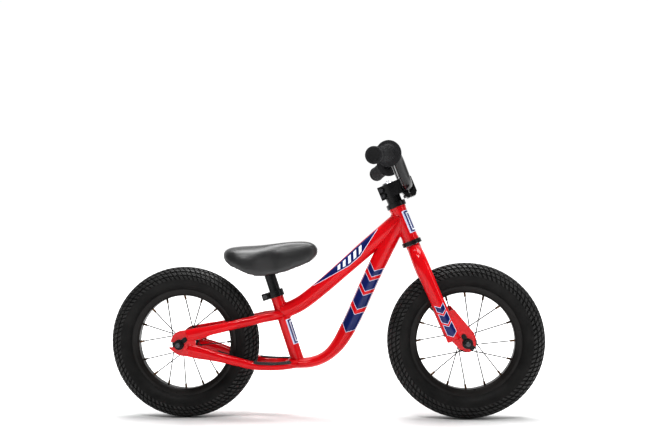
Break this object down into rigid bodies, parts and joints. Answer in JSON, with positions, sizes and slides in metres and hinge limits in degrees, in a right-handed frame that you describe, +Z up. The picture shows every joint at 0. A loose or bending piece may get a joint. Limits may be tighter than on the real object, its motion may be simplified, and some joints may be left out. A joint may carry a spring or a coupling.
{
  "type": "balance bike",
  "caption": "Child's balance bike with a curved two-tube steel frame, unicrown fork, riser bar with grips, padded saddle and spoked pneumatic wheels.",
  "frame": {"origin": "on the ground, midway between the two axles, in the bike's middle plane", "axes": "+X forward, +Y to the rider's left, +Z up"},
  "size_m": [0.8623, 0.421, 0.5346],
  "materials": {
    "frame_paint": "gloss",
    "black_paint": "satin",
    "gloss_black": "gloss",
    "black_plastic": "matte",
    "steel": "bright",
    "dark_steel": "satin",
    "brass": "dull",
    "tyre": "matte",
    "grip_rubber": "matte",
    "tube_rubber": "matte",
    "grip_tape": "rough",
    "saddle_vinyl": "soft sheen"
  },
  "bodies": {
    "frame": {"head_tube": "frame_paint", "top_tube": "frame_paint", "down_tube": "frame_paint", "seat_tube": "frame_paint", "seatstay_left": "frame_paint", "seatstay_right": "frame_paint", "chainstay_left": "frame_paint", "chainstay_right": "frame_paint", "rear_dropouts": "frame_paint", "chainstay_bridge": "frame_paint", "foot_grips": "grip_tape", "seat_clamp": "black_paint", "seat_clamp_bolt": "dark_steel", "lower_headset_cup": "black_paint", "upper_headset_cup": "black_paint", "headset_balls": "steel", "rear_axle": "steel", "rear_cones": "steel", "rear_washers": "black_paint", "rear_nuts": "black_paint", "rear_hub_balls": "steel"},
    "fork": {"steerer_tube": "frame_paint", "fork_leg_left": "frame_paint", "fork_leg_right": "frame_paint", "fork_dropouts": "frame_paint", "crown_race": "steel", "upper_race": "black_paint", "headset_spacer": "black_paint", "star_nut": "steel", "top_cap": "steel", "top_cap_bolt": "steel", "stem_body": "black_paint", "stem_face_plate": "black_paint", "stem_face_bolts": "dark_steel", "stem_clamp_bolts": "dark_steel", "handlebar": "gloss_black", "grip_left": "grip_rubber", "grip_right": "grip_rubber", "bar_end_plugs": "black_plastic", "front_axle": "steel", "front_cones": "steel", "front_washers": "black_paint", "front_nuts": "black_paint", "front_hub_balls": "steel"},
    "saddle": {"seatpost": "black_paint", "saddle_base": "black_plastic", "saddle_pad": "saddle_vinyl", "saddle_screws": "steel"},
    "front_wheel": {"front_hub": "black_paint", "front_spokes": "dark_steel", "front_nipples": "brass", "front_rim": "black_paint", "front_tyre": "tyre", "front_inner_tube": "tube_rubber"},
    "rear_wheel": {"rear_hub": "black_paint", "rear_spokes": "dark_steel", "rear_nipples": "brass", "rear_rim": "black_paint", "rear_tyre": "tyre", "rear_inner_tube": "tube_rubber"}
  },
  "joints": [
    {"name": "steering", "type": "hinge", "parent": "frame", "child": "fork", "pos_m": [0.17765, 0, 0.34873], "axis": [-0.3633, 0, 0.9317], "continuous": true},
    {"name": "front_wheel_spin", "type": "hinge", "parent": "fork", "child": "front_wheel", "pos_m": [0.27925, 0, 0.152], "axis": [0, 1, 0], "continuous": true},
    {"name": "rear_wheel_spin", "type": "hinge", "parent": "frame", "child": "rear_wheel", "pos_m": [-0.27925, 0, 0.152], "axis": [0, 1, 0], "continuous": true},
    {"name": "seatpost_height", "type": "slide", "parent": "frame", "child": "saddle", "axis": [-0.2974, 0, 0.9548], "range_m": [-0.02, 0.05]}
  ]
}
